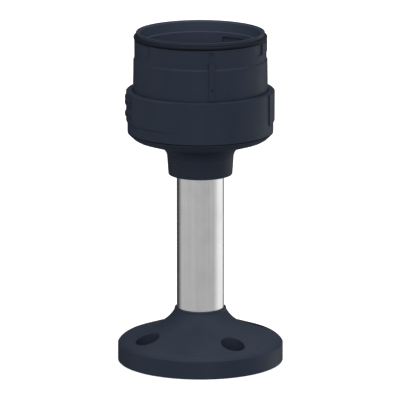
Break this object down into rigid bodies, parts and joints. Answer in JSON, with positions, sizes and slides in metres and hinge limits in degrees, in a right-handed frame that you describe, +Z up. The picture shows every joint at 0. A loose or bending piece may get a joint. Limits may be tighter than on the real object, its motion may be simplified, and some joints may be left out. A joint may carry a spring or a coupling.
{
  "type": "pole-mount signal light base",
  "caption": "Pole-mount base of a modular signal light: round screw-down foot, aluminium pole, and a dark cup-shaped head with a turning lock ring and an open sealed socket.",
  "frame": {"origin": "centre of the foot's underside, on the pole's axis", "axes": "+Z up along the pole, -Y towards the front, +X to the right seen from the front"},
  "size_m": [0.0698, 0.0698, 0.1409],
  "materials": {
    "navy_plastic": "moulded dark blue-grey plastic, fine satin texture",
    "aluminium_pole": "clear anodised, satin, fine lengthwise draw lines",
    "seal_rubber": "black sealing rubber, dull",
    "black_plastic": "moulded black insulating plastic",
    "grey_plastic": "moulded grey terminal plastic",
    "zinc_steel": "bright zinc-plated steel",
    "dark_steel": "blackened steel",
    "cast_zinc": "raw die-cast zinc, dull grey",
    "contact_brass": "bare contact brass, slightly burnished",
    "spring_steel": "bright spring wire"
  },
  "bodies": {
    "base": {"foot_flange": "navy_plastic", "foot_gasket": "seal_rubber", "foot_seal": "seal_rubber", "pole_tube": "aluminium_pole", "tube_insert": "cast_zinc", "foot_screws": "zinc_steel", "foot_washers": "zinc_steel", "cable_grommet": "seal_rubber", "neck_adapter": "navy_plastic", "neck_seal": "seal_rubber", "neck_screws": "dark_steel", "joint_gasket": "seal_rubber", "terminal_housing": "navy_plastic", "rim_oring": "seal_rubber", "contact_carrier": "black_plastic", "carrier_screws": "zinc_steel", "terminal_block": "grey_plastic", "block_screws": "zinc_steel", "clamp_cages": "zinc_steel", "terminal_screws": "zinc_steel", "contact_strips": "contact_brass", "contact_spring_1": "spring_steel", "contact_spring_2": "spring_steel", "contact_spring_3": "spring_steel", "contact_spring_4": "spring_steel", "contact_spring_5": "spring_steel", "contact_spring_6": "spring_steel"},
    "lock_ring": {"lock_ring": "navy_plastic"},
    "contact_pin_1": {"contact_pin_1": "contact_brass"},
    "contact_pin_2": {"contact_pin_2": "contact_brass"},
    "contact_pin_3": {"contact_pin_3": "contact_brass"},
    "contact_pin_4": {"contact_pin_4": "contact_brass"},
    "contact_pin_5": {"contact_pin_5": "contact_brass"},
    "contact_pin_6": {"contact_pin_6": "contact_brass"}
  },
  "joints": [
    {"name": "lock_ring_turn", "type": "hinge", "parent": "base", "child": "lock_ring", "pos_m": [0, 0, 0.107], "axis": [0, 0, 1], "range_deg": [0, 30]},
    {"name": "contact_pin_1_press", "type": "slide", "parent": "base", "child": "contact_pin_1", "axis": [0, 0, 1], "range_m": [-0.0015, 0], "stiffness_N_per_m": 300, "springref_m": 0.0005, "deforming": ["contact_spring_1"]},
    {"name": "contact_pin_2_press", "type": "slide", "parent": "base", "child": "contact_pin_2", "axis": [0, 0, 1], "range_m": [-0.0015, 0], "stiffness_N_per_m": 300, "springref_m": 0.0005, "deforming": ["contact_spring_2"]},
    {"name": "contact_pin_3_press", "type": "slide", "parent": "base", "child": "contact_pin_3", "axis": [0, 0, 1], "range_m": [-0.0015, 0], "stiffness_N_per_m": 300, "springref_m": 0.0005, "deforming": ["contact_spring_3"]},
    {"name": "contact_pin_4_press", "type": "slide", "parent": "base", "child": "contact_pin_4", "axis": [0, 0, 1], "range_m": [-0.0015, 0], "stiffness_N_per_m": 300, "springref_m": 0.0005, "deforming": ["contact_spring_4"]},
    {"name": "contact_pin_5_press", "type": "slide", "parent": "base", "child": "contact_pin_5", "axis": [0, 0, 1], "range_m": [-0.0015, 0], "stiffness_N_per_m": 300, "springref_m": 0.0005, "deforming": ["contact_spring_5"]},
    {"name": "contact_pin_6_press", "type": "slide", "parent": "base", "child": "contact_pin_6", "axis": [0, 0, 1], "range_m": [-0.0015, 0], "stiffness_N_per_m": 300, "springref_m": 0.0005, "deforming": ["contact_spring_6"]}
  ]
}
